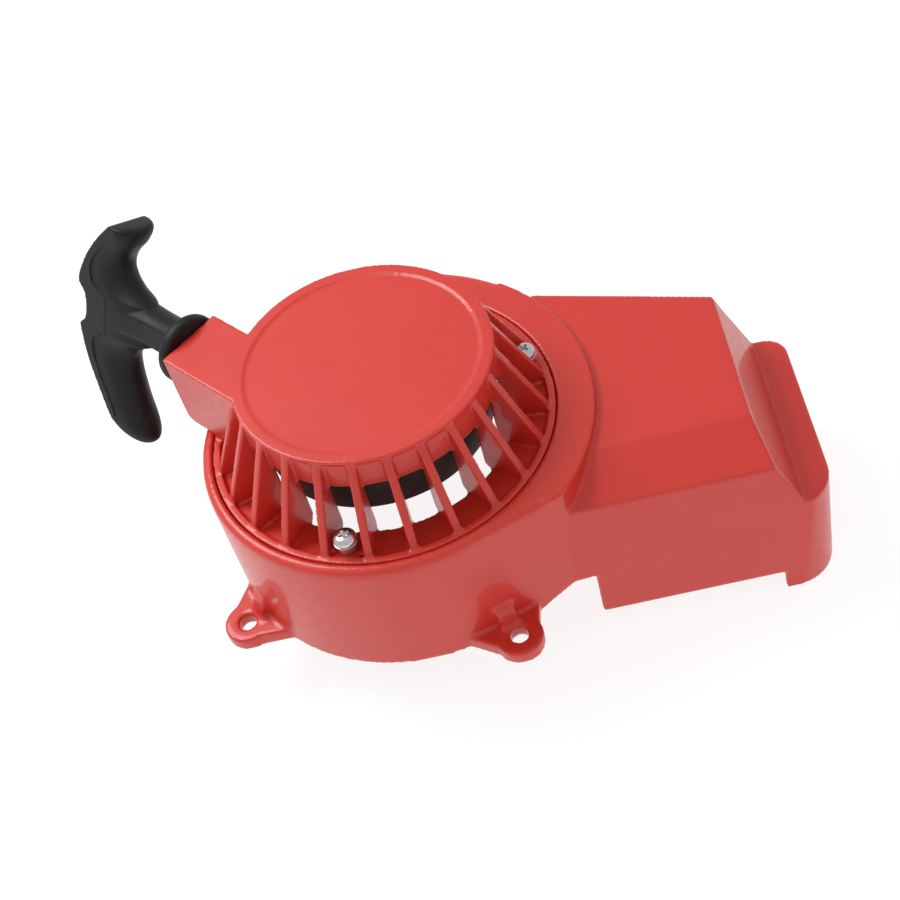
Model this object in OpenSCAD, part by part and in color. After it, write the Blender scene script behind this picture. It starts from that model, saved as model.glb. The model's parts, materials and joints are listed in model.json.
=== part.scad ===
// Recoil starter with its fan shroud, for a small two-stroke engine.
// The origin is on the crankshaft's axis, in the plane of the four mounting lugs.
// +Z points along the crankshaft, out of the engine, and +X points to the cylinder.

/* [Fan shroud] */
// Outer radius of the drum around the fan
drum_r = 58; // [55:0.5:72]
// How much further than the drum its volute reaches on the cylinder side
volute_grow = 8; // [5:0.5:12]
// Height of the drum's top rim above the lugs' plane
drum_h = 47; // [40:0.5:58]
// Wall of the casting
wall = 3; // [2:0.25:4]
// Height of the duct's flat top
duct_h = 44; // [36:0.5:55]
// Distance from the axis to the end of the duct's flat top
duct_end = 108.5; // [100:0.5:130]
// Distance from the axis to the duct's front wall
duct_front = 43.5; // [38:0.5:50]
// Distance from the axis to the duct's rear wall, at the drum
duct_rear = 43; // [38:0.5:52]
// How far the rear wall comes in along the duct
duct_rear_taper = 19.5; // [0:0.5:25]
// How far the duct's walls reach below the lugs' plane
duct_drop = 12.5; // [5:0.5:20]
// Height of the ledge at the duct's end
ledge_h = 20; // [12:0.5:28]
// Length of the ledge past the sloped end wall
ledge_len = 10; // [6:0.5:14]
// How much lower than the duct's walls its end wall hangs
end_drop = 7.5; // [3:0.5:12]

/* [Mounting lugs] */
// Distance from the drum's wall to a lug's hole
lug_reach = 7.2; // [7:0.1:10]
// Radius of each lug's pad
lug_r = 7.5; // [6:0.25:9]
// Thickness of each lug
lug_t = 5; // [4:0.25:8]
// Radius of each lug's hole, for an M5 bolt
lug_hole_r = 2.9; // [2.6:0.05:3.3]

/* [Starter housing] */
// How much smaller than the drum the housing's round top is
cone_run = 18; // [16:0.5:19]
// Height of the housing's top above the lugs' plane
top_h = 75.2; // [72:0.2:90]
// Thickness of the housing's top plate
plate_t = 2.7; // [2:0.1:3.5]
// Depth of the round recess in the top
recess_depth = 0.5; // [0.3:0.1:1]
// Width of the rim around the recess
recess_rim = 3.7; // [2:0.1:6]
// Height of the skirt that hangs from the top plate
skirt_h = 11.2; // [8:0.2:14]
// Thickness of the skirt
skirt_t = 2.4; // [2:0.1:3.5]
// Width of the drum's rim outside the housing's flange
rim_w = 3.9; // [3.5:0.1:5]
// Thickness of the flange's floor
flange_t = 2.5; // [2:0.1:4]
// Number of fins around the housing
fin_count = 24; // [18:1:28]
// Thickness of each fin
fin_t = 2.6; // [1.6:0.1:3]
// Direction of the first fin, in degrees
fin_start = 5.5; // [0:0.5:14]
// Direction in which the rope is pulled, in degrees
pull_dir = 131.7; // [131:0.1:133]
// Width of the rope outlet block
outlet_w = 22.3; // [20:0.1:24]
// How far the outlet block's end stands past the flange
outlet_past = 0.4; // [0:0.1:8]

/* [Starter screws] */
// Distance from the flange's edge to the screws
screw_edge = 5.6; // [5.2:0.1:6]
// Radius of the screws' shanks, M4
screw_r = 2; // [1.5:0.25:2]
// Height of the bosses that the screws' washers stand on
screw_boss_h = 1.5; // [1:0.25:3]
// Height of the conical washers under the screws' heads
washer_h = 4.3; // [2:0.1:5]

/* [Pulley and rope] */
// How much smaller than the housing's round top the pulley is
pulley_less = 4; // [3.4:0.1:5]
// Diameter of the rope
rope_d = 4; // [3:0.1:4.8]
// Mean radius of the wound rope, which is also the offset of the rope's line
rope_line = 22; // [21.5:0.25:23]
// Turns of rope in the groove
rope_turns = 5; // [4:1:5]
// How far the rope's line lies below the housing's top
rope_drop = 6.4; // [6.3:0.1:9]
// Radius of the fixed post that the pulley turns on
post_r = 6; // [5:0.25:6.5]
// Wall of the bearing sleeve
sleeve_t = 2; // [1.5:0.1:2.5]

/* [Recoil spring] */
// Thickness of the spring's strip
strip_t = 0.6; // [0.4:0.05:0.8]
// Turns of the spring
strip_turns = 8; // [5:1:9]

/* [Handle] */
// Reach of the grip's upper wing, from the rope's line
wing_up = 32.6; // [30:0.2:45]
// Reach of the grip's lower wing, from the rope's line
wing_down = 40.6; // [36:0.2:50]
// Thickness of the handle
grip_t = 14.5; // [12:0.5:18]
// Width of the neck
neck_w = 11; // [10:0.5:14]
// Length of the neck, from the collar to the grip
neck_l = 21.4; // [15:0.2:30]
// Depth of the grip along the pull
grip_depth = 23.2; // [21:0.2:26]
// Radius of the collar at the neck's foot
collar_r = 11.3; // [9:0.1:12]
// Turn of the grip about the rope's line, from upright, in degrees
grip_turn = 24; // [0:1:45]

/* [Hidden] */
$fn = 96;

gap = 0.3;              // between pieces that move past each other
fit = 0.05;             // radial clearance of a running fit
slip = 0.02;            // radial clearance of a fixed fit
over = 1;               // how far a cut runs past the face it opens

// Shroud
volute_from = -42;      // directions between which the volute keeps its full radius
volute_to = 75;
volute_r = drum_r + volute_grow;
lug_circle_r = drum_r + lug_reach;
top_r = drum_r - cone_run;
flange_r = drum_r - rim_w;
flange_bore_r = top_r + 1;
seat_drop = 4.5;        // how far the housing's seat lies below the rim
seat_z = drum_h - seat_drop;
well_r = flange_r + gap + wall;
cover_bore_r = flange_bore_r + wall;
crown_z = drum_h - wall - 0.5;
bevel_w = 16.5;         // the sloped facet along the duct's front edge
bevel_h = 7;
end_slope = 11;         // how far the sloped end wall runs out, from its top to the ledge
ledge_x = duct_end + end_slope;
ledge_end = ledge_x + ledge_len;
wall_draft = 2.2;       // how far a duct wall leans out, from its top to its foot
duct_x0 = sqrt(pow(volute_r, 2) - pow(duct_front, 2)) + 4.4;  // where the duct's walls leave the drum
end_x0 = ledge_x - 7.5; // where the end wall starts to hang lower
end_round = 14;         // the rounded corners of the duct's end, in plan
arch_h = 5.5;           // the arched cut in the wall between a lug and the duct
arch_from = duct_x0 - 20;
lug_spread = 15;        // half the angle that a lug's root takes up on the drum
lug_spots = [[lug_circle_r, -150], [lug_circle_r, -65], [lug_circle_r, 150], [volute_r + lug_r, 67]];

// Housing
skirt_z = top_h - skirt_h;
roof_z = top_h - plate_t;
skirt_r = top_r - 0.4;
outlet_end = flange_r + outlet_past;
screw_circle_r = flange_r - screw_edge;
flange_z = seat_z;
floor_z = flange_z + flange_t;
ring_w = 2.5;
ring_z = drum_h - 0.2;
fin_inner_r = top_r - 1.4;
fin_step = 360 / fin_count;
block_wall = 2.5;
block_z = drum_h + 0.4;
block_near = -rope_line + outlet_w / 2;
block_far = -rope_line - outlet_w / 2;
block_round = 3;
screw_dirs = [for (k = [0:2]) fin_start + fin_step / 2 + 120 * k];
boss_r = 2.3 * screw_r;
boss_z = floor_z + screw_boss_h;
head_r = 1.75 * screw_r;
head_h = 1.45 * screw_r;
cross_w = 0.55 * screw_r;  // the cross recess in the head
cross_l = 2.1 * screw_r;
washer_top_r = 1.85 * screw_r;
washer_foot_r = 1.3 * screw_r;
screw_hole_r = screw_r + 0.25;
screw_grip = 7;         // depth of thread in the shroud

// Pulley stack, from the roof down
shim_t = 0.4;
pulley_r = top_r - pulley_less;
rope_z = top_h - rope_drop;
pulley_top = roof_z - shim_t;
groove_w = rope_d + 0.6;
groove_top = rope_z + groove_w / 2;
groove_floor = rope_z - groove_w / 2;
core_r = rope_line - rope_turns * rope_d / 2;
barrel_roof = groove_floor - 2.9;
barrel_z = 50;
cavity_r = pulley_r - 6.5;
lid_t = 1.5;
lid_z = barrel_z + 0.2;
lid_screw_r = pulley_r - 3.25;
sleeve_r = post_r + fit + sleeve_t;
spring_in = post_r + 1.2;
spring_out = cavity_r - 1.2;
spring_z = lid_z + lid_t + 0.8;
spring_h = barrel_roof - spring_z - 0.8;
strip_steps = 20;       // corners per turn of the spring

// Pawls and their guide
pawl_z = 47.1;
pawl_t = lid_z - pawl_z - gap;
pawl_pin_at = 15;
pawl_pin_r = 1.75;
pawl_hub_r = 3.6;
pawl_len = 13;
pawl_swing = 26;        // degrees
guide_swing = 20;       // degrees
peg_at = [7.2, -118];    // the peg's distance from the pin, and its direction at rest
peg_r = 1.1;
guide_t = 1.4;
guide_z = pawl_z - gap - guide_t;
guide_r = 21;
ring_t = 1;
post_end = guide_z - ring_t;
bolt_washer_t = 1;
bolt_washer_r = post_r + 3.8;
bolt_r = 2.5;
bolt_head_r = 4.25;
bolt_head_h = 3;
bolt_len = 14;

// Handle, along the rope's line
collar_from = outlet_end + gap;
collar_t = 3.8;
neck_from = collar_from + collar_t;
grip_front = neck_from + neck_l;
grip_back = grip_front + grip_depth;
knot_room_r = 1.15 * rope_d + 1;
knot_from = grip_back - 11.2;
rope_hole_r = rope_d / 2 + 0.4;
guide_bush_r = rope_d / 2 + 2.6;
guide_flange_r = guide_bush_r + 2.2;
guide_flange_t = 1.5;
lead_from = sqrt(pow(rope_line + rope_turns * rope_d / 2, 2) - pow(rope_line - rope_d / 2, 2)) + 0.6;

cast_red = [0.80, 0.12, 0.09];
bare_steel = [0.74, 0.74, 0.76];
spring_steel = [0.45, 0.46, 0.50];
nylon = [0.13, 0.13, 0.14];
rope_cord = [0.10, 0.10, 0.11];
bronze = [0.72, 0.52, 0.28];

function polar(r, a) = [r * cos(a), r * sin(a)];

// A ring or tube between two radii
module tube(r_out, r_in, z0, h) {
  translate([0, 0, z0]) difference() {
    cylinder(r = r_out, h = h);
    translate([0, 0, -over]) cylinder(r = r_in, h = h + 2 * over);
  }
}

// Places its children on the rope's line: +Z along the pull, +Y upwards, from the axis plane
module on_rope_line(along = 0) {
  rotate([0, 0, pull_dir]) translate([along, rope_line, rope_z]) rotate([90, 0, 90]) children();
}

// ---- Fan shroud ----

// The drum in plan: a small circle, a larger arc on the cylinder side, and tangents between them
module volute_plan(inset = 0) {
  r = drum_r - inset;
  big = volute_r - inset;
  lean = acos(r / big);
  from = volute_from - lean;
  to = volute_to + lean;
  circle(r = r);
  intersection() {
    circle(r = big);
    polygon([[0, 0], polar(r - over / 4, from), polar(r, from) + polar(big, from + 90), polar(3 * big, 0),
             polar(3 * big, to / 2), polar(r, to) + polar(big, to - 90), polar(r - over / 4, to)]);
  }
}

// The duct in plan, with its two far corners rounded
module duct_plan(inset = 0) {
  front = -duct_front - wall_draft + inset;
  back = duct_rear - inset;
  far_back = duct_rear - duct_rear_taper - inset;
  x1 = ledge_end - inset;
  rad = end_round - inset;
  difference() {
    polygon([[20, front], [x1, front], [x1, far_back], [ledge_x - 8, far_back],
             [duct_x0, back], [20, back]]);
    translate([x1 - rad, front + rad]) corner_waste(rad, -90);
    translate([x1 - rad / 2, far_back - rad / 2]) corner_waste(rad / 2, 0);
  }
}

// What a rounded corner leaves outside its arc
module corner_waste(rad, turn) {
  rotate(turn) difference() {
    square(rad + over);
    circle(r = rad);
  }
}

// The duct seen from the front: top, sloped end, ledge and stepped foot
module duct_side(inset = 0, foot = 0) {
  top = duct_h - inset;
  low = -duct_drop - foot;
  polygon([[20, top], [duct_end - inset, top], [ledge_x - inset, ledge_h - inset],
           [ledge_end + over, ledge_h - inset], [ledge_end + over, low - end_drop],
           [end_x0 - foot, low - end_drop], [end_x0 - foot, low], [duct_x0 - foot * 20, low],
           [duct_x0 - foot * 20, -foot], [20, -foot]]);
}

// The duct seen from its end: the front wall with its draft and the sloped facet above it
module duct_section(inset = 0) {
  low = -duct_drop - end_drop - 2 * over;
  polygon([[-duct_front - wall_draft + inset, low], [-duct_front + inset, duct_h - bevel_h - inset / 3],
           [-duct_front + bevel_w + inset / 3, duct_h - inset], [duct_rear + over, duct_h - inset],
           [duct_rear + over, low]]);
}

module duct_form(inset = 0, foot = 0) {
  intersection() {
    translate([0, 0, -duct_drop - end_drop - 2 * over])
      linear_extrude(duct_h + duct_drop + end_drop + 4 * over) duct_plan(inset);
    translate([0, 2 * duct_rear, 0]) rotate([90, 0, 0])
      linear_extrude(4 * duct_rear) duct_side(inset, foot);
    rotate([90, 0, 90]) linear_extrude(ledge_end + over) duct_section(inset);
  }
}

module lug(out, dir) {
  p = polar(out, dir);
  root = out - (lug_circle_r - drum_r) - 2;
  difference() {
    linear_extrude(lug_t) difference() {
      union() {
        translate(p) circle(r = lug_r);
        polygon([p + polar(lug_r - fit, dir + 90), p + polar(lug_r - fit, dir - 90),
                 polar(root, dir - lug_spread), polar(root, dir + lug_spread)]);
      }
      circle(r = drum_r - wall / 2);
    }
    translate([p[0], p[1], -over]) cylinder(r = lug_hole_r, h = lug_t + 2 * over);
  }
}

module shroud_cover() {
  color(cast_red) {
    difference() {
      union() {
        linear_extrude(drum_h) volute_plan();
        duct_form();
        for (spot = lug_spots) lug_web(spot[0], spot[1]);
      }
      // Fan chamber and duct, open to the engine
      difference() {
        translate([0, 0, -over]) linear_extrude(crown_z + over) volute_plan(wall);
        translate([0, 0, seat_z - wall]) cylinder(r = well_r, h = drum_h);
      }
      difference() {
        duct_form(wall, over);
        translate([0, 0, seat_z - wall]) cylinder(r = well_r, h = drum_h);
      }
      // Seat for the starter housing, and the air opening in it
      translate([0, 0, seat_z]) cylinder(r = flange_r + gap, h = seat_drop + over);
      translate([0, 0, -over]) cylinder(r = cover_bore_r, h = drum_h);
      for (dir = screw_dirs) rotate([0, 0, dir]) translate([screw_circle_r, 0, 0])
        cylinder(r = screw_r + slip, h = drum_h);
      // Arched cuts between the lugs and the duct
      for (side = [-1, 1]) translate([arch_from, side * drum_r, 0]) rotate([90, 0, 0])
        linear_extrude(drum_r * 0.9, center = true)
          polygon([[0, -over], [duct_x0 - arch_from, -over], [duct_x0 - arch_from, arch_h],
                   [duct_x0 - arch_from - 6, arch_h - 0.5], [6, 2]]);
    }
    difference() {
      for (dir = screw_dirs) rotate([0, 0, dir]) translate([screw_circle_r, 0, seat_z - screw_grip])
        cylinder(r = boss_r, h = screw_grip - wall / 2);
      for (dir = screw_dirs) rotate([0, 0, dir]) translate([screw_circle_r, 0, 0])
        cylinder(r = screw_r + slip, h = drum_h);
    }
    for (spot = lug_spots) lug(spot[0], spot[1]);
  }
}

// The upright web that joins a lug to the drum
module lug_web(out, dir) {
  root = out - (lug_circle_r - drum_r) - 1;
  rotate([0, 0, dir]) rotate([90, 0, 0]) translate([0, 0, -wall]) linear_extrude(2 * wall)
    polygon([[root, lug_t - 0.5], [out - lug_hole_r - 1, lug_t - 0.5], [out - lug_hole_r - 1, lug_t + 0.3],
             [root + 2.5, 2.2 * lug_t], [root, 3 * lug_t]]);
}

// ---- Starter housing ----

module fin(dir) {
  rotate([0, 0, dir]) rotate([90, 0, 0]) translate([0, 0, -fin_t / 2]) linear_extrude(fin_t)
    polygon([[skirt_r - skirt_t + 0.3, top_h - 1.2], [top_r, top_h - 1.2], [flange_r - 2, ring_z + 0.6],
             [flange_r - 1.6, ring_z - 0.6], [flange_r - 1.6, flange_z + 0.4],
             [flange_bore_r + 0.4, flange_z + 0.4], [fin_inner_r, floor_z + 2], [fin_inner_r, skirt_z],
             [skirt_r - skirt_t + 0.3, skirt_z]]);
}

// The outlet block's outline across the pull, set in by a wall
module block_form(inset, from) {
  rotate([0, 0, pull_dir]) difference() {
    translate([from, -block_near + inset, block_z + inset])
      cube([outlet_end - inset - from, outlet_w - 2 * inset, top_h - block_z - inset]);
    translate([outlet_end - inset - block_round, -block_near, block_z + inset + block_round])
      rotate([-90, 0, 0]) linear_extrude(outlet_w) corner_waste(block_round, 0);
  }
}

module starter_housing() {
  inside_r = skirt_r - skirt_t;
  fin_dirs = [for (k = [0:fin_count - 1]) fin_start + k * fin_step];
  color(cast_red) difference() {
    union() {
      tube(flange_r, flange_bore_r, flange_z, flange_t);
      tube(flange_r, flange_r - ring_w, flange_z, ring_z - flange_z);
      translate([0, 0, top_h - 1]) cylinder(r = top_r, h = 1);
      translate([0, 0, skirt_z]) cylinder(r = skirt_r, h = skirt_h);
      for (dir = fin_dirs) if (!in_block(dir)) fin(dir);
      for (dir = screw_dirs) rotate([0, 0, dir]) translate([screw_circle_r, 0, flange_z])
        cylinder(r = boss_r, h = boss_z - flange_z);
      block_form(0, fin_inner_r / 2);
      intersection() {
        translate([0, 0, floor_z - block_z - over]) block_form(0, fin_inner_r / 2);
        translate([0, 0, floor_z - over]) cylinder(r = flange_r - ring_w / 2, h = block_z);
      }
    }
    // Room for the pulley, then the rope's way out through the block
    translate([0, 0, skirt_z - over]) cylinder(r = inside_r, h = roof_z - skirt_z + over);
    translate([0, 0, flange_z - over]) cylinder(r = fin_inner_r - 0.4, h = skirt_z - flange_z + 2 * over);
    intersection() {
      block_form(block_wall, 20);
      cylinder(r = 3 * flange_r, h = roof_z);
    }
    translate([0, 0, top_h - recess_depth]) cylinder(r = top_r - recess_rim, h = over + recess_depth);
    on_rope_line(outlet_end - 3 * block_wall) cylinder(r = guide_bush_r + slip, h = 4 * block_wall);
    for (dir = screw_dirs) rotate([0, 0, dir]) translate([screw_circle_r, 0, flange_z - over])
      cylinder(r = screw_hole_r, h = top_h);
  }
  // The post that the pulley turns on, with the thread for the centre bolt
  color(cast_red) difference() {
    translate([0, 0, post_end]) cylinder(r = post_r, h = roof_z - post_end + 0.5);
    translate([0, 0, post_end - over]) cylinder(r = bolt_r + slip, h = bolt_len + 2 * over);
  }
}

// True for a direction that the outlet block covers
function in_block(dir) =
  let (turn = dir - pull_dir,
       near = asin((block_near < 0 ? -block_near : 0) / flange_r),
       far = atan(-block_far / (outlet_end * 0.75)))
  (turn > near && turn < far + 3) || (turn - 360 > near && turn - 360 < far + 3);

// Pan heads with a cross recess
module housing_screws() {
  seat = boss_z + washer_h;
  color(bare_steel) for (dir = screw_dirs) rotate([0, 0, dir]) translate([screw_circle_r, 0, seat])
    difference() {
      union() {
        rotate_extrude() polygon([
          [0, 0], [head_r, 0], [head_r, head_h * 0.45], [head_r * 0.93, head_h * 0.75],
          [head_r * 0.75, head_h * 0.93], [head_r * 0.45, head_h], [0, head_h]]);
        translate([0, 0, seat_z - screw_grip + 0.5 - seat])
          cylinder(r = screw_r, h = seat - seat_z + screw_grip);
      }
      for (turn = [0, 90]) rotate([0, 0, turn]) translate([-cross_l / 2, -cross_w / 2, head_h * 0.4])
        cube([cross_l, cross_w, head_h]);
    }
}

module screw_washers() {
  color(bare_steel) for (dir = screw_dirs) rotate([0, 0, dir]) translate([screw_circle_r, 0, boss_z])
    difference() {
      cylinder(r1 = washer_foot_r, r2 = washer_top_r, h = washer_h);
      translate([0, 0, -over]) cylinder(r = screw_r + 0.15, h = washer_h + 2 * over);
    }
}

// The flanged bush in the outlet block's end wall
module rope_guide() {
  color(nylon) difference() {
    union() {
      on_rope_line(outlet_end - block_wall) cylinder(r = guide_bush_r, h = block_wall);
      // The flange is trimmed to pass under the housing's roof
      intersection() {
        on_rope_line(outlet_end - block_wall - guide_flange_t)
          cylinder(r = guide_flange_r, h = guide_flange_t);
        cylinder(r = 3 * flange_r, h = roof_z - slip);
      }
    }
    on_rope_line(outlet_end - 3 * block_wall) cylinder(r = rope_hole_r, h = 4 * block_wall);
  }
}

// ---- Pulley and what turns with it ----

module post_shim() {
  color(bare_steel) tube(sleeve_r + 1.5, post_r + slip, pulley_top, shim_t);
}

module rope_pulley() {
  color(nylon) difference() {
    rotate_extrude() polygon([
      [sleeve_r, pulley_top - 0.05], [sleeve_r, barrel_roof], [cavity_r, barrel_roof], [cavity_r, barrel_z],
      [pulley_r, barrel_z], [pulley_r, groove_floor - 0.4], [pulley_r - 0.6, groove_floor],
      [core_r, groove_floor], [core_r, groove_top], [pulley_r - 0.6, groove_top],
      [pulley_r, pulley_top - 0.05]]);
    // Seat of the spring's lid
    translate([0, 0, barrel_z - over]) cylinder(r = pulley_r - 1.2, h = over + lid_z - barrel_z + lid_t);
    for (k = [0:2]) rotate([0, 0, 120 * k + 30]) translate([lid_screw_r - 0.6, 0, barrel_z])
      cylinder(r = 1.25 + slip, h = 9);
  }
}

module bearing_sleeve() {
  color(bronze) tube(sleeve_r, post_r + fit, barrel_roof, pulley_top - 0.05 - barrel_roof);
}

// A flat strip wound into a spiral, hooked on the post at its inner end
module recoil_spring() {
  steps = strip_turns * strip_steps;
  rise = (spring_out - spring_in) / steps;
  hook = [[spring_in + strip_t, -2], [post_r + slip, -2], [post_r + slip, 0]];
  inner = [for (k = [0:steps]) polar(spring_in + rise * k, 360 * k / strip_steps)];
  outer = [for (k = [steps:-1:0]) polar(spring_in + rise * k + strip_t, 360 * k / strip_steps)];
  color(spring_steel) translate([0, 0, spring_z]) linear_extrude(spring_h)
    polygon(concat(inner, outer, hook));
}

// The steel lid that closes the spring's barrel and carries the pawls
module spring_cover() {
  color(bare_steel) difference() {
    tube(pulley_r - 1.25, post_r + 2 * gap, lid_z, lid_t);
    for (k = [0:2]) rotate([0, 0, 120 * k + 30]) translate([lid_screw_r - 0.6, 0, lid_z - over])
      cylinder(r = 1.4, h = lid_t + 2 * over);
    for (k = [0:1]) rotate([0, 0, 180 * k]) translate([pawl_pin_at, 0, lid_z - over])
      cylinder(r = pawl_pin_r + slip, h = lid_t + 2 * over);
  }
}

module cover_screws() {
  color(bare_steel) for (k = [0:2]) rotate([0, 0, 120 * k + 30]) translate([lid_screw_r - 0.6, 0, 0])
    difference() {
      union() {
        translate([0, 0, lid_z]) cylinder(r = 1.25, h = lid_t + 6);
        translate([0, 0, lid_z - 1.4]) cylinder(r = 2.3, h = 1.4);
      }
      translate([-2.5, -0.3, lid_z - 1.4 - over]) cube([5, 0.6, 0.7 + over]);
    }
}

// The closed outer form of the wound turns
module rope_winding() {
  color(rope_cord) tube(rope_line + rope_turns * rope_d / 2, core_r + 0.05, rope_z - rope_d / 2, rope_d);
}

module pawl_pins() {
  color(bare_steel) for (k = [0:1]) rotate([0, 0, 180 * k])
    translate([pawl_pin_at, 0, guide_z + guide_t + 0.05])
      cylinder(r = pawl_pin_r, h = lid_z + lid_t - guide_z - guide_t - 0.05);
}

// A pawl in the plane of its pin: hub, arm and tooth
module pawl_plan() {
  circle(r = pawl_hub_r);
  polygon([polar(pawl_hub_r, -30), [-2.6, 1 - pawl_len], [-4.6, -pawl_len - 1.5], [-7, -pawl_len],
           [-6.2, 4 - pawl_len], polar(pawl_hub_r, -165)]);
}

module pawl(k) {
  color(spring_steel) rotate([0, 0, 180 * k]) translate([pawl_pin_at, 0, pawl_z]) difference() {
    union() {
      linear_extrude(pawl_t) pawl_plan();
      translate(concat(polar(peg_at[0], peg_at[1]), [guide_z - pawl_z + 0.2]))
        cylinder(r = peg_r, h = pawl_z - guide_z + 0.3);
    }
    translate([0, 0, -over]) cylinder(r = pawl_pin_r + fit, h = pawl_t + 2 * over);
  }
}

// The peg's place in the guide's own frame, when the pawls are a share t of the way out
function peg_place(t) =
  let (p = [pawl_pin_at, 0] + polar(peg_at[0], peg_at[1] + pawl_swing * t),
       a = -guide_swing * t)
  [p[0] * cos(a) - p[1] * sin(a), p[0] * sin(a) + p[1] * cos(a)];

// The guide plate, with a slot for each pawl's peg
module pawl_guide() {
  color(bare_steel) difference() {
    union() {
      translate([0, 0, guide_z]) cylinder(r = bolt_washer_r, h = guide_t);
      intersection() {
        translate([0, 0, guide_z]) cylinder(r = guide_r, h = guide_t);
        for (k = [0:1]) rotate([0, 0, 180 * k]) translate([0, 0, guide_z])
          linear_extrude(guide_t)
            polygon([[-4, 0], [-4, -guide_r / 2], [2 * guide_r, -2 * guide_r], [2 * guide_r, -2]]);
      }
    }
    translate([0, 0, guide_z - over]) cylinder(r = post_r + fit, h = guide_t + 2 * over);
    for (k = [0:1]) rotate([0, 0, 180 * k]) for (t = [0:0.125:1])
      translate(concat(peg_place(t), [guide_z - over])) cylinder(r = peg_r + gap, h = guide_t + 2 * over);
  }
}

// ---- Friction drive and centre bolt ----

module friction_ring() {
  color(spring_steel) rotate_extrude() polygon([
    [post_r + gap, post_end], [post_r + gap + 1.2, post_end], [bolt_washer_r - 0.4, guide_z - 0.25],
    [bolt_washer_r - 0.4, guide_z - 0.02], [bolt_washer_r - 1.4, guide_z - 0.02],
    [post_r + gap, post_end + 0.3]]);
}

module bolt_washer() {
  color(bare_steel) tube(bolt_washer_r, bolt_r + 0.2, post_end - bolt_washer_t, bolt_washer_t);
}

module centre_bolt() {
  low = post_end - bolt_washer_t;
  color(bare_steel) difference() {
    union() {
      translate([0, 0, low - bolt_head_h]) cylinder(r = bolt_head_r, h = bolt_head_h);
      translate([0, 0, low]) cylinder(r = bolt_r, h = bolt_washer_t + bolt_len);
    }
    translate([0, 0, low - bolt_head_h - over]) cylinder(r = 2.3, h = over + 0.6 * bolt_head_h, $fn = 6);
  }
}

// ---- Handle and the rope that runs to it ----

// One side of the grip in its own plane, X along the pull and Y along the grip; tip is its wing's end
module grip_side(tip) {
  n = neck_w / 2;
  polygon(concat(
    [[collar_from + 0.5, 0], [collar_from + 0.5, n + 1], [neck_from + 4, n], [grip_front - 8, n],
     [grip_front - 1, n + 1.8], [grip_front + 2.6, n + 4.4], [grip_front + 4, n + 9]],
    tip,
    [[grip_back - 3.8, 18], [grip_back - 0.8, 11], [grip_back, 7.8], [grip_back - 2.8, 5.4],
     [grip_back - 3.6, 0]]));
}

upper_tip = [
  [grip_front + 4.4, wing_up - 12], [grip_front + 2, wing_up - 8], [grip_front - 1.6, wing_up - 4],
  [grip_front - 0.8, wing_up - 0.8], [grip_front + 5.8, wing_up], [grip_back - 13.6, wing_up - 2.6],
  [grip_back - 8.4, wing_up - 8.4]];
lower_tip = [
  [grip_front + 3, wing_down - 20], [grip_front + 1, wing_down - 12], [grip_front - 4, wing_down - 7.4],
  [grip_front - 9, wing_down - 5], [grip_front - 9, wing_down - 1.4], [grip_front - 3, wing_down],
  [grip_front + 2.6, wing_down - 0.8], [grip_back - 16.2, wing_down - 4.2],
  [grip_back - 11.2, wing_down - 9.6], [grip_back - 7.4, wing_down - 15.2]];

// Turns a shape from the handle's plane into place
module in_grip_plane() {
  rotate([0, 0, pull_dir]) translate([0, rope_line, rope_z]) rotate([90 + grip_turn, 0, 0]) children();
}

module handle() {
  color(nylon) difference() {
    union() {
      in_grip_plane() linear_extrude(grip_t, center = true) {
        grip_side(upper_tip);
        mirror([0, 1]) grip_side(lower_tip);
      }
      on_rope_line(collar_from) cylinder(r = collar_r, h = collar_t);
    }
    on_rope_line(collar_from - over) cylinder(r = rope_hole_r, h = grip_back);
    on_rope_line(knot_from) cylinder(r = knot_room_r, h = grip_back);
  }
}

module rope_lead() {
  color(rope_cord) on_rope_line(lead_from) cylinder(r = rope_d / 2, h = knot_from + 1.2 - lead_from);
}

module knot_washer() {
  color(bare_steel) difference() {
    on_rope_line(knot_from) cylinder(r = knot_room_r - 0.6, h = 1.2);
    on_rope_line(knot_from - over) cylinder(r = rope_d / 2 + 0.05, h = 4);
  }
}

module rope_knot() {
  color(rope_cord) on_rope_line(knot_from + 1.2) rotate_extrude() polygon([
    [0, 0], [rope_d * 0.8, 0], [rope_d * 1.15, rope_d * 0.45], [rope_d * 1.15, rope_d],
    [rope_d * 0.75, rope_d * 1.6], [0, rope_d * 1.6]]);
}

shroud_cover();
starter_housing();
housing_screws();
screw_washers();
rope_guide();
post_shim();
rope_pulley();
bearing_sleeve();
recoil_spring();
spring_cover();
cover_screws();
rope_winding();
pawl_pins();
pawl(0);  // pawl_1
pawl(1);  // pawl_2
pawl_guide();
friction_ring();
bolt_washer();
centre_bolt();
handle();
rope_lead();
knot_washer();
rope_knot();
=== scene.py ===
import json
import math

import bmesh
import bpy
from mathutils import Matrix, Vector


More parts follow.
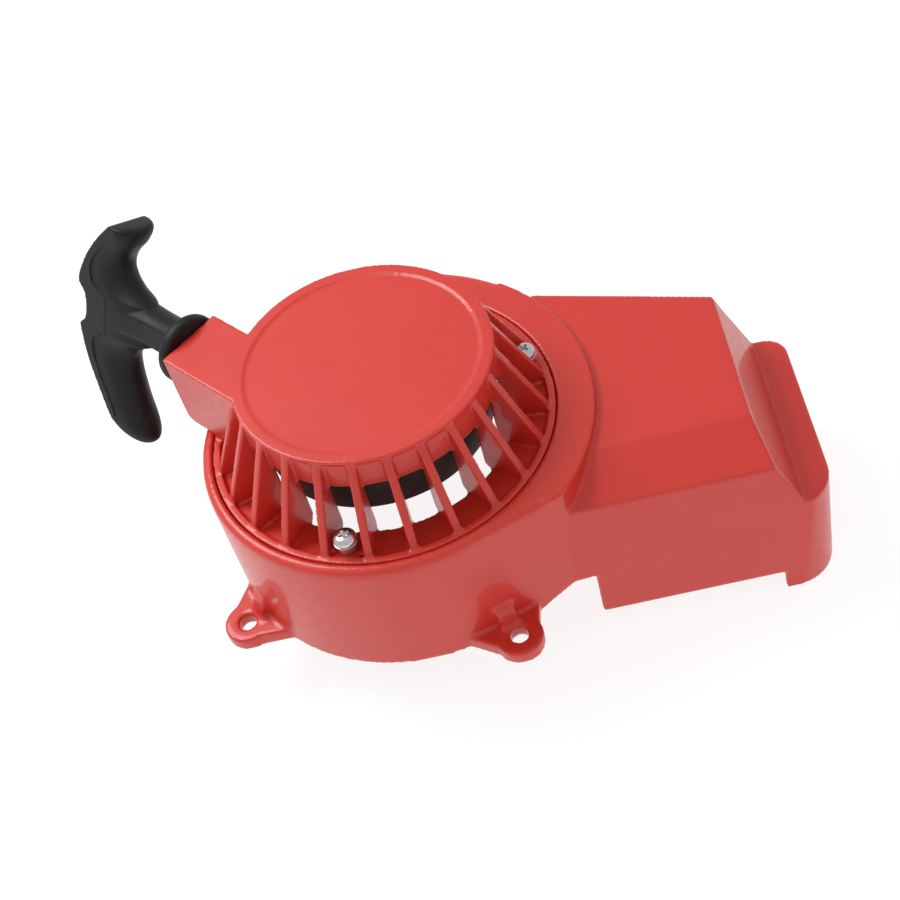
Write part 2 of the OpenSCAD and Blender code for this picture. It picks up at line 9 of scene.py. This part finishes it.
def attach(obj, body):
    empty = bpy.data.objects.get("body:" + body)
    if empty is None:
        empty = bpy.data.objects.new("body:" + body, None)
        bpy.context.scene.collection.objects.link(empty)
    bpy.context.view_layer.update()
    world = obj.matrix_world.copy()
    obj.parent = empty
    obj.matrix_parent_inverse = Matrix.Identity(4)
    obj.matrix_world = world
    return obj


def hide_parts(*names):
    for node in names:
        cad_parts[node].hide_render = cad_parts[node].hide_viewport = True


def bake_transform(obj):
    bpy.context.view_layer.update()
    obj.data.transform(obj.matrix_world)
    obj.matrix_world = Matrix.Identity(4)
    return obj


mm = 0.001
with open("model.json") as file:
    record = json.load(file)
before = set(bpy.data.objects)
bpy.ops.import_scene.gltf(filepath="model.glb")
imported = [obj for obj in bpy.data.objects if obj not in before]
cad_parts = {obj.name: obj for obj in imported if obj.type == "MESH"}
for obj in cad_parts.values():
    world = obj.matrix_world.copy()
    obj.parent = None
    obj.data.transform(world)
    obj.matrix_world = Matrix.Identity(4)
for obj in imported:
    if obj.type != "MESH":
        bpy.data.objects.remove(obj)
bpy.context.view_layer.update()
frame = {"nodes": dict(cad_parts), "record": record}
nodes = frame["nodes"]
print("frame loaded")

# The pull: which way the rope leaves in degrees, how far its line is from the axis and how high,
# and how far the grip is turned about it
pull = {"direction": 131.7, "offset": 22, "height": 68.8, "grip turn": 24}

along = Vector((math.cos(math.radians(pull["direction"])), math.sin(math.radians(pull["direction"])), 0))
across = Vector((along.y, -along.x, 0))
gripTurn = math.radians(pull["grip turn"])
gripUp = across * math.sin(gripTurn) + Vector((0, 0, math.cos(gripTurn)))
ropeStart = across * -pull["offset"] + Vector((0, 0, pull["height"]))


def onPull(distance):
    # A place on the rope's line, in millimetres
    return ropeStart + along * distance


class Socket:
    # A node's output that can stand in a sum
    def __init__(self, finish, end):
        self.finish = finish
        self.end = end

    def maths(self, operation, first, second):
        return self.finish.node("ShaderNodeMath", {"operation": operation}, {0: first, 1: second})

    def __add__(self, other):
        return self.maths("ADD", self, other)

    def __radd__(self, other):
        return self.maths("ADD", other, self)

    def __sub__(self, other):
        return self.maths("SUBTRACT", self, other)

    def __rsub__(self, other):
        return self.maths("SUBTRACT", other, self)

    def __mul__(self, other):
        return self.maths("MULTIPLY", self, other)

    def __rmul__(self, other):
        return self.maths("MULTIPLY", other, self)


class Finish:
    def __init__(self, name, look):
        self.look = look
        self.material = bpy.data.materials.new(name)
        self.material.use_nodes = True
        self.tree = self.material.node_tree
        self.shader = next(n for n in self.tree.nodes if n.type == "BSDF_PRINCIPLED")
        self.set("Base Color", look["color"])
        self.set("Roughness", look["roughness"])
        self.set("Metallic", look.get("metallic", 0.0))
        self.set("Coat Weight", look.get("coat", 0.0))
        self.set("Coat Roughness", look.get("coat roughness", 0.05))
        self.set("Specular IOR Level", look.get("specular", 0.5))

    def set(self, name, value):
        self.plug(self.shader.inputs[name], value)

    def plug(self, socket, value):
        if isinstance(value, Socket):
            self.tree.links.new(value.end, socket)
        elif hasattr(value, "__len__") and len(value) == 3 and len(socket.default_value) == 4:
            socket.default_value = (*value, 1.0)
        else:
            socket.default_value = value

    def node(self, kind, settings=None, values=None, output=0):
        made = self.tree.nodes.new(kind)
        for name, value in (settings or {}).items():
            setattr(made, name, value)
        for name, value in (values or {}).items():
            self.plug(made.inputs[name], value)
        return Socket(self, made.outputs[output])

    def place(self):
        return self.node("ShaderNodeTexCoord", output="Object")

    def noise(self, size, detail, rough=0.5):
        # Lumps about size millimetres across
        return self.node("ShaderNodeTexNoise", None, {
            "Vector": self.place(), "Scale": 1 / (size * mm), "Detail": detail, "Roughness": rough})

    def patches(self, noise, low=0.3, high=0.7):
        # Noise stretched until it reaches both 0 and 1
        return self.node("ShaderNodeMapRange", None, {"Value": noise, "From Min": low, "From Max": high})

    def tint(self, amount, first, second):
        mixed = self.node("ShaderNodeMix", {"data_type": "RGBA"}, {0: amount, 6: first, 7: second}, 2)
        self.set("Base Color", mixed)

    def unevenGloss(self, patches):
        # Roughness that wanders as far as the look says, to both sides of its own
        self.set("Roughness", self.look["roughness"] + self.look["unevenness"] * (2 * patches - 1))

    def bump(self, height, depth, under=None):
        values = {"Height": height, "Distance": depth * mm, "Strength": 1.0}
        if under:
            values["Normal"] = under
        return self.node("ShaderNodeBump", None, values)


# In each look, color is the plain colour, and dark and light are the ends of its drift. Sizes and
# depths are in millimetres
powderCoat = {"color": (0.61, 0.029, 0.016), "dark": (0.59, 0.027, 0.015), "light": (0.63, 0.032, 0.018),
              "roughness": 0.42, "unevenness": 0.06, "coat": 0.36, "coat roughness": 0.06, "specular": 0.4,
              "drift": 22, "gloss": 2.5, "wave": 14, "wave depth": 0.12, "peel": 1.3, "peel depth": 0.010}


def castRed():
    # Powder coat: slight waves and an orange peel, and a little colour drift
    finish = Finish("castRed", powderCoat)
    finish.tint(finish.patches(finish.noise(powderCoat["drift"], 3)), powderCoat["dark"], powderCoat["light"])
    waves = finish.bump(finish.noise(powderCoat["wave"], 1), powderCoat["wave depth"])
    finish.set("Normal", finish.bump(finish.noise(powderCoat["peel"], 2), powderCoat["peel depth"], waves))
    finish.unevenGloss(finish.patches(finish.noise(powderCoat["gloss"], 3)))
    return finish.material


moulding = {"color": (0.016, 0.016, 0.017), "dark": (0.009, 0.009, 0.010), "light": (0.015, 0.015, 0.016),
            "roughness": 0.49, "unevenness": 0.07, "specular": 0.22,
            "cloud": 6, "grain": 0.7, "grain depth": 0.02}


def gripPlastic():
    # Moulded plastic with a fine leather-like grain
    finish = Finish("gripPlastic", moulding)
    cells = {"Vector": finish.place(), "Scale": 1 / (moulding["grain"] * mm)}
    grain = finish.node("ShaderNodeTexVoronoi", {"feature": "F1"}, cells)
    cloud = finish.patches(finish.noise(moulding["cloud"], 4))
    finish.tint(cloud, moulding["dark"], moulding["light"])
    finish.unevenGloss(cloud)
    finish.set("Normal", finish.bump(grain, moulding["grain depth"]))
    return finish.material


nylon = {"color": (0.014, 0.014, 0.015), "dark": (0.010, 0.010, 0.011), "light": (0.020, 0.020, 0.021),
         "roughness": 0.42, "unevenness": 0.08, "cloud": 5, "grain": 0.5, "grain depth": 0.008}


def blackNylon():
    finish = Finish("blackNylon", nylon)
    cloud = finish.noise(nylon["cloud"], 4)
    finish.tint(cloud, nylon["dark"], nylon["light"])
    finish.unevenGloss(finish.patches(cloud))
    finish.set("Normal", finish.bump(finish.noise(nylon["grain"], 2), nylon["grain depth"]))
    return finish.material


metal = {"metallic": 1.0, "unevenness": 0.095, "dulling": 0.75,
         "spots": 3, "spots from": 0.4, "spots to": 0.75, "gloss": 1.2, "grain": 0.35, "grain depth": 0.004}


def bareMetal(name, color, roughness):
    # Metal with duller spots
    finish = Finish(name, {**metal, "color": color, "roughness": roughness})
    spots = finish.patches(finish.noise(metal["spots"], 5, 0.6), metal["spots from"], metal["spots to"])
    finish.tint(spots, color, tuple(metal["dulling"] * c for c in color))
    finish.unevenGloss(finish.patches(finish.noise(metal["gloss"], 4)))
    finish.set("Normal", finish.bump(finish.noise(metal["grain"], 3), metal["grain depth"]))
    return finish.material


braid = {"color": (0.030, 0.030, 0.032), "dark": (0.020, 0.020, 0.022), "light": (0.052, 0.052, 0.055),
         "roughness": 0.85, "specular": 0.3, "fibre": 0.35, "fibre depth": 0.05}


def ropeCord():
    # The braid's shape is in the mesh; the finish adds its fibres
    finish = Finish("ropeCord", braid)
    fibres = finish.noise(braid["fibre"], 3)
    finish.tint(fibres, braid["dark"], braid["light"])
    finish.set("Normal", finish.bump(fibres, braid["fibre depth"]))
    return finish.material


finishes = {
    "cast_red": castRed(),
    "grip_plastic": gripPlastic(),
    "black_nylon": blackNylon(),
    "bare_steel": bareMetal("bareSteel", (0.66, 0.66, 0.68), 0.285),
    "spring_steel": bareMetal("springSteel", (0.34, 0.35, 0.38), 0.365),
    "bronze": bareMetal("bronze", (0.62, 0.40, 0.18), 0.325),
    "rope_cord": ropeCord(),
}
for part in frame["record"]["subparts"]:
    carried = nodes[part["node"]].data
    carried.materials.clear()
    carried.materials.append(finishes[part["material_slot"]])
print("finishes made")


def addPiece(name, mesh, finish, body, replaced=()):
    # A tool that only cuts another piece has no body
    piece = bpy.data.objects.new(name, mesh)
    bpy.context.scene.collection.objects.link(piece)
    mesh.materials.clear()
    mesh.materials.append(finishes[finish])
    for face in mesh.polygons:
        face.use_smooth = True
    if body:
        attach(piece, body)
    if replaced:
        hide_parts(*replaced)
    return piece


def meshPiece(name, build, finish, body, replaced=()):
    # build fills a bmesh in millimetres
    work = bmesh.new()
    build(work)
    bmesh.ops.scale(work, vec=(mm, mm, mm), verts=work.verts)
    bmesh.ops.recalc_face_normals(work, faces=work.faces)
    mesh = bpy.data.meshes.new(name)
    work.to_mesh(mesh)
    work.free()
    return addPiece(name, mesh, finish, body, replaced)


def modify(piece, kind, **settings):
    added = piece.modifiers.new(kind, kind)
    for name, value in settings.items():
        setattr(added, name, value)


def applied(piece):
    # The mesh that the piece's modifiers give, in place of its own
    bpy.context.view_layer.update()
    result = bpy.data.meshes.new_from_object(piece.evaluated_get(bpy.context.evaluated_depsgraph_get()))
    piece.modifiers.clear()
    piece.data = result
    for face in result.polygons:
        face.use_smooth = True


def cut(piece, name, build, finish, **settings):
    # Takes a shape out of the piece
    tool = meshPiece(name, build, finish, None)
    modify(piece, "BOOLEAN", object=tool, operation="DIFFERENCE", **settings)
    applied(piece)
    bpy.data.objects.remove(tool)


def ring(work, points):
    return [work.verts.new(p) for p in points]


def bridge(work, rings, closed=False):
    following = rings[1:] + rings[:1] if closed else rings[1:]
    for one, two in zip(rings, following):
        for k in range(len(one)):
            work.faces.new((one[k - 1], one[k], two[k], two[k - 1]))
    if not closed:
        work.faces.new(rings[0])
        work.faces.new(list(reversed(rings[-1])))


def lathe(work, outline, sides, centre, axis=Vector((0, 0, 1))):
    # outline is (radius, height) pairs, turned about the axis
    turn = axis.to_track_quat("Z", "Y").to_matrix()
    rings = []
    for radius, height in outline:
        points = []
        for k in range(sides):
            a = 2 * math.pi * k / sides
            points.append(centre + turn @ Vector((radius * math.cos(a), radius * math.sin(a), height)))
        rings.append(ring(work, points))
    bridge(work, rings)


def copyOf(node, name):
    # A welded copy of a CAD node's mesh, in metres
    mesh = nodes[node].data.copy()
    mesh.name = name
    work = bmesh.new()
    work.from_mesh(mesh)
    bmesh.ops.remove_doubles(work, verts=work.verts, dist=1e-6)
    work.to_mesh(mesh)
    work.free()
    return mesh


# The two castings, as copies of their CAD shapes with rounded edges. The drum's shoulder is rounder
shroud = {"grain": 0.6, "rounding": 6, "triangles": 190000, "shoulder rounding": 70,
          "shoulder from height": 42.8, "shoulder from radius": 55.9, "shoulder to x": 44.0}
housing = {"grain": 0.45, "rounding": 4, "triangles": 195000}


def castPiece(node, name, look, onShoulder=None):
    piece = addPiece(name, copyOf(node, name), "cast_red", "shroud", [node])
    modify(piece, "REMESH", mode="VOXEL", voxel_size=look["grain"] * mm, adaptivity=0.0)
    modify(piece, "SMOOTH", factor=0.5, iterations=look["rounding"])
    applied(piece)
    if onShoulder:
        group = piece.vertex_groups.new(name="shoulder")
        group.add([v.index for v in piece.data.vertices if onShoulder(v.co / mm)], 1.0, "REPLACE")
        modify(piece, "SMOOTH", factor=0.5, iterations=look["shoulder rounding"], vertex_group=group.name)
        applied(piece)
        piece.vertex_groups.clear()
    triangles = 2 * len(piece.data.polygons)
    if triangles > look["triangles"]:
        modify(piece, "DECIMATE", ratio=look["triangles"] / triangles)
        applied(piece)
    print(name, "made from", triangles, "triangles")


def onDrumShoulder(point):
    # The drum's outer rim, away from the duct
    high = point.z > shroud["shoulder from height"]
    outside = math.hypot(point.x, point.y) > shroud["shoulder from radius"]
    return high and outside and point.x < shroud["shoulder to x"]


castPiece("shroud_cover", "fanShroud", shroud, onDrumShoulder)
castPiece("starter_housing", "starterHousing", housing)

# The handle. Its neck is (place along the pull, half height, half width) at each ring
grip = {"thickness": 14.5, "crown": 6.7, "crown edge": 0.3, "layers": 26, "grain": 0.36, "rounding": 8,
        "neck": [(58, 6.8, 5.6), (61, 6.2, 5.5), (72, 6.2, 5.7),
                 (80, 6.5, 6.3), (86, 7.3, 6.9), (93, 9.2, 7.25)],
        "neck lift": 0.9, "neck fullness": 1.12, "sides": 64,
        "collar": 11.3, "collar from": 54.8, "collar to": 58.9, "collar rounding": 1.2, "collar corner": 0.35,
        "pocket": 5.4, "pocket from": 92, "pocket to": 108, "pocket sides": 48,
        "groove": 0.55, "groove inset": 0.5, "groove start": 3}

# The wings' outlines, in places (along the pull, along the grip). The finger side is in pairs: on
# the two flat faces, then on the crown between them
upperWing = {
    "outer": [(99.6, 0), (100.4, 4.6), (103.0, 7.4), (102.6, 11), (99.4, 17.8), (94.9, 24.2), (90.4, 29.2)],
    "finger": [((87.4, 32.2), (86.2, 32.5)), ((84.6, 32.2), (80.4, 32.5)), ((83.6, 30.8), (78.8, 31.0)),
               ((85.4, 28.0), (80.4, 26.6)), ((89.4, 24.8), (84.0, 22.4)), ((92.8, 20.9), (85.8, 19.0)),
               ((95.4, 16.6), (85.8, 15.6)), ((96.0, 12.6), (83.4, 12.4)), ((94.4, 9.2), (79.0, 9.4)),
               ((89.5, 6.8), (74.0, 7.2))]}
lowerWing = {
    "outer": [(99.6, 0), (100.4, 4.6), (103.0, 7.4), (102.2, 11.2), (99.5, 18.5), (95.7, 25.2), (92.4, 30.2)],
    "finger": [((89.8, 34.2), (88.0, 37.0)), ((87.6, 36.8), (83.2, 41.4)), ((85.4, 37.0), (77.6, 43.4)),
               ((84.8, 35.2), (73.4, 41.6)), ((85.6, 33.0), (74.0, 37.4)), ((88.2, 29.0), (78.0, 30.4)),
               ((91.0, 24.8), (80.6, 24.2)), ((92.9, 21.6), (82.4, 18.8)), ((95.4, 15.4), (82.6, 13.8)),
               ((95.2, 10.2), (79.6, 10.0)), ((90.4, 6.8), (74.0, 7.0))]}


def smoothed(points, steps=4):
    # A Catmull-Rom curve through the points
    ends = [points[0]] + list(points) + [points[-1]]
    curve = []
    for a, b, c, d in zip(ends, ends[1:], ends[2:], ends[3:]):
        for k in range(steps):
            t = k / steps
            curve.append(tuple(0.5 * (2 * q + (r - p) * t + (2 * p - 5 * q + 4 * r - s) * t * t
                                      + (3 * q - p - 3 * r + s) * t ** 3) for p, q, r, s in zip(a, b, c, d)))
    return curve + [tuple(points[-1])]


def placed(x, y, z):
    # From the grip's own plane into place
    return ropeStart + along * x + gripUp * y + along.cross(gripUp) * z


def wingOutline(wing, share):
    # The finger side is a share of the way from the flat faces' edge to the crown
    finger = [tuple(f + (c - f) * share for f, c in zip(face, crown)) for face, crown in wing["finger"]]
    return smoothed(wing["outer"]) + smoothed(finger)


def gripSlab(work, share, half):
    # One layer of the grip, between two planes
    up = wingOutline(upperWing, share)
    down = wingOutline(lowerWing, share)
    outline = up + [(x, -y) for x, y in reversed(down[1:])]
    bridge(work, [ring(work, [placed(x, y, z) for x, y in outline]) for z in (-half, half)])


def buildHandle(work):
    gripSlab(work, 0.0, grip["thickness"] / 2)
    for k in range(1, grip["layers"] + 1):
        turn = math.pi / 2 * k / grip["layers"]
        gripSlab(work, math.sin(turn), grip["crown"] * math.cos(turn) + grip["crown edge"])
    # The neck: round above and below, flat on its two sides, and wider into the grip
    rings = []
    for x, height, flat in grip["neck"]:
        points = []
        for k in range(grip["sides"]):
            a = 2 * math.pi * k / grip["sides"]
            side = max(-flat, min(flat, grip["neck fullness"] * height * math.cos(a)))
            points.append(placed(x, grip["neck lift"] + height * math.sin(a), side))
        rings.append(ring(work, points))
    bridge(work, rings)
    # The collar, with a rounded rim
    rim, front, back = grip["collar"], grip["collar from"], grip["collar to"]
    soft, corner = grip["collar rounding"], grip["collar corner"]
    outline = [(0, front), (rim - soft, front), (rim - corner, front + corner), (rim, front + soft),
               (rim, back - soft), (rim - corner, back - corner), (rim - soft, back), (0, back)]
    lathe(work, outline, grip["sides"], ropeStart, along)


def buildPocket(work):
    # The knot's room, open at the grip's back
    radius, front, back = grip["pocket"], grip["pocket from"], grip["pocket to"]
    outline = [(0, front), (radius, front), (radius, back), (0, back)]
    lathe(work, outline, grip["pocket sides"], ropeStart, along)


def buildGroove(work):
    # The fine step that follows the finger side on both flat faces
    deep = grip["groove"]
    for wing, turn in ((upperWing, 1), (lowerWing, -1)):
        path = smoothed([face for face, crown in wing["finger"][grip["groove start"]:]])
        for side in (-1, 1):
            z = side * grip["thickness"] / 2
            rings = []
            for x, y in path:
                corners = [(x + grip["groove inset"] + deep * i, y * turn, z + deep * j)
                           for i, j in ((-1, 0), (0, 1), (1, 0), (0, -1))]
                rings.append(ring(work, [placed(*corner) for corner in corners]))
            bridge(work, rings)


handle = meshPiece("gripHandle", buildHandle, "grip_plastic", "handle", ["handle"])
modify(handle, "REMESH", mode="VOXEL", voxel_size=grip["grain"] * mm, adaptivity=0.0)
modify(handle, "SMOOTH", factor=0.5, iterations=grip["rounding"])
applied(handle)
cut(handle, "pocketTool", buildPocket, "grip_plastic", solver="MANIFOLD")
cut(handle, "grooveTool", buildGroove, "grip_plastic", solver="MANIFOLD")
print("handle made,", len(handle.data.polygons), "faces")

# The rope: its run to the handle, and the turns wound on the pulley
rope = {"radius": 2.0, "strands": 8, "lay": 5.2, "relief": 0.07, "sides": 32, "step": 0.4,
        "run from": 27.0, "run to": 93.4, "stretch from": 50, "stretch to": 57,
        "wound in": 14.0, "wound out": 30.0, "wound fit": 0.98, "wound steps": 90, "wound sides": 16}


def sweep(work, points, radius, sides, closed=False):
    # A braided tube along a chain of points; the strands cross each other both ways round
    rings = []
    travelled = 0.0
    normal = None
    count = len(points)
    for k, point in enumerate(points):
        ahead = points[(k + 1) % count] if closed or k + 1 < count else point
        behind = points[k - 1] if closed or k > 0 else point
        run = (ahead - behind).normalized()
        if normal is None:
            normal = run.orthogonal().normalized()
        normal = (normal - run * normal.dot(run)).normalized()
        other = run.cross(normal)
        if k > 0:
            travelled += (point - points[k - 1]).length
        turn = 2 * math.pi * travelled / (rope["lay"] * rope["strands"] / 2)
        around = []
        for i in range(sides):
            a = 2 * math.pi * i / sides
            weave = math.cos(rope["strands"] / 2 * (a + turn)) * math.cos(rope["strands"] / 2 * (a - turn))
            size = radius * (1 + rope["relief"] * (weave - 1) / 2)
            around.append(point + (normal * math.cos(a) + other * math.sin(a)) * size)
        rings.append(ring(work, around))
    bridge(work, rings, closed)


def buildRun(work):
    length = rope["run to"] - rope["run from"]
    steps = int(length / rope["step"])
    points = [onPull(rope["run from"] + length * k / steps) for k in range(steps + 1)]
    sweep(work, points, rope["radius"], rope["sides"])


def buildWinding(work):
    turns = (rope["wound out"] - rope["wound in"]) / (2 * rope["radius"])
    points = []
    for k in range(int(turns * rope["wound steps"]) + 1):
        share = k / rope["wound steps"]
        a = 2 * math.pi * share
        radius = rope["wound in"] + 2 * rope["radius"] * share
        points.append(Vector((radius * math.cos(a), radius * math.sin(a), pull["height"])))
    sweep(work, points, rope["radius"] * rope["wound fit"], rope["wound sides"])


knot = {"at": 96.3, "reach": 1.9, "sway": 1.0, "depth": 1.35, "radius": 1.62, "steps": 160, "sides": 20}


def buildKnot(work):
    # A trefoil pulled tight
    up = Vector((0, 0, 1))
    points = []
    for k in range(knot["steps"]):
        t = 2 * math.pi * k / knot["steps"]
        reach = knot["reach"] + knot["sway"] * math.cos(3 * t)
        points.append(onPull(knot["at"]) + across * (reach * math.cos(2 * t)) + up * (reach * math.sin(2 * t))
                      + along * (knot["depth"] * math.sin(3 * t)))
    sweep(work, points, knot["radius"], knot["sides"], closed=True)


ropeRun = meshPiece("ropeRun", buildRun, "rope_cord", None, ["rope_lead"])
tuple(onPull(rope["stretch from"]) * mm)
tuple(onPull(rope["stretch to"]) * mm)
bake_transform(ropeRun)
meshPiece("woundRope", buildWinding, "rope_cord", "pulley", ["rope_winding"])
meshPiece("ropeKnot", buildKnot, "rope_cord", "handle", ["rope_knot"])
print("rope made")

# The housing's three screws, with a cross recess in each domed head
screw = {"count": 3, "first": 13.0, "circle": 48.5, "seat": 50.8, "end": 36.0, "shank": 2.0, "sides": 48,
         "head": 3.5, "height": 2.9, "dome from": 1.2, "dome": [0, 18, 36, 52, 66, 78],
         "edge": 0.12, "edge angle": 40, "sharp angle": 35}
recess = {"turn": 40, "over": 0.5, "deep": 2.2, "bottom": (0.7, 0.3), "mouth": (2.15, 0.62)}


def screwPlaces():
    # Each screw's angle and its place on the circle
    for k in range(screw["count"]):
        a = math.radians(screw["first"] + 360 / screw["count"] * k)
        yield a, Vector((math.cos(a), math.sin(a), 0)) * screw["circle"]


def buildScrews(work):
    head, seat, shank = screw["head"], screw["seat"], screw["shank"]
    rise = screw["height"] - screw["dome from"]
    outline = [(0, screw["end"]), (shank, screw["end"]), (shank, seat), (head, seat)]
    for degrees in screw["dome"]:
        a = math.radians(degrees)
        outline.append((head * math.cos(a), seat + screw["dome from"] + rise * math.sin(a)))
    outline.append((0, seat + screw["height"]))
    for angle, centre in screwPlaces():
        lathe(work, outline, screw["sides"], centre)


def buildRecess(work):
    # Two tapered bars that cross in each head
    top = screw["seat"] + screw["height"] + recess["over"]
    for angle, centre in screwPlaces():
        for quarter in range(2):
            b = angle + math.radians(recess["turn"] + 90 * quarter)
            run = Vector((math.cos(b), math.sin(b), 0))
            side = Vector((-run.y, run.x, 0))
            rings = []
            for z, (reach, wide) in ((top - recess["deep"], recess["bottom"]), (top, recess["mouth"])):
                rings.append(ring(work, [centre + run * (reach * i) + side * (wide * j) + Vector((0, 0, z))
                                         for i, j in ((-1, -1), (1, -1), (1, 1), (-1, 1))]))
            bridge(work, rings)


screws = meshPiece("housingScrews", buildScrews, "bare_steel", "shroud", ["housing_screws"])
cut(screws, "recessTool", buildRecess, "bare_steel", solver="EXACT", use_self=True)
modify(screws, "BEVEL", width=screw["edge"] * mm, segments=2, limit_method="ANGLE",
       angle_limit=math.radians(screw["edge angle"]))
applied(screws)
screws.data.set_sharp_from_angle(angle=math.radians(screw["sharp angle"]))
print("screws made")

# The camera looks at the drum's middle from azimuth and elevation, then shifts right and up
camera = {"azimuth": 6.0, "elevation": 48.10, "roll": -16.99, "distance": 524.0, "height": 36.37,
          "right": 18.92, "up": -2.12, "lens": 66.98, "sensor": 36}
azimuth, elevation, roll = (math.radians(camera[k]) for k in ("azimuth", "elevation", "roll"))
level = Vector((math.sin(azimuth), -math.cos(azimuth), 0))
toCamera = level * math.cos(elevation) + Vector((0, 0, math.sin(elevation)))
levelRight = (-toCamera).cross(Vector((0, 0, 1))).normalized()
levelUp = levelRight.cross(-toCamera)
cameraRight = levelRight * math.cos(roll) + levelUp * math.sin(roll)
cameraUp = levelUp * math.cos(roll) - levelRight * math.sin(roll)
eye = Vector((0, 0, camera["height"])) + toCamera * camera["distance"]
eye += cameraRight * camera["right"] + cameraUp * camera["up"]
lens = bpy.data.cameras.new("camera")
lens.lens = camera["lens"]
lens.sensor_width = camera["sensor"]
shot = bpy.data.objects.new("camera", lens)
turned = Matrix((cameraRight, cameraUp, toCamera)).transposed().to_4x4()
shot.matrix_world = Matrix.Translation(eye * mm) @ turned
bpy.context.scene.collection.objects.link(shot)
bpy.context.scene.camera = shot

# White surroundings, one large soft lamp behind on the left, and a floor that glows a little
studio = {"sky": 0.66, "lamp power": 3.5, "lamp size": 420,
          "lamp at": (-350, 250, 620), "lamp to": (20, 0, 30),
          "floor height": -20.4, "floor reach": 4000, "floor color": (0.22, 0.22, 0.22), "floor glow": 0.85}
world = bpy.data.worlds.new("studio")
world.use_nodes = True
world.node_tree.nodes["Background"].inputs["Color"].default_value = (1, 1, 1, 1)
world.node_tree.nodes["Background"].inputs["Strength"].default_value = studio["sky"]
bpy.context.scene.world = world
bpy.context.scene.view_settings.view_transform = "Standard"

light = bpy.data.lights.new("keyLight", "AREA")
light.shape = "DISK"
light.size = studio["lamp size"] * mm
light.energy = studio["lamp power"]
keyLight = bpy.data.objects.new("keyLight", light)
lampPlace = Vector(studio["lamp at"])
aim = (Vector(studio["lamp to"]) - lampPlace).to_track_quat("-Z", "Y").to_matrix().to_4x4()
keyLight.matrix_world = Matrix.Translation(lampPlace * mm) @ aim
bpy.context.scene.collection.objects.link(keyLight)

floorMesh = bpy.data.meshes.new("floor")
reach = studio["floor reach"] * mm
height = studio["floor height"] * mm
corners = [(reach * i, reach * j, height) for i, j in ((-1, -1), (1, -1), (1, 1), (-1, 1))]
floorMesh.from_pydata(corners, [], [(0, 1, 2, 3)])
floor = bpy.data.objects.new("floor", floorMesh)
bpy.context.scene.collection.objects.link(floor)
floorWhite = Finish("floorWhite", {"color": studio["floor color"], "roughness": 0.9, "specular": 0.0})
floorWhite.set("Emission Color", (1, 1, 1))
floorWhite.set("Emission Strength", studio["floor glow"])
floorMesh.materials.append(floorWhite.material)
print("camera, light and floor ready")
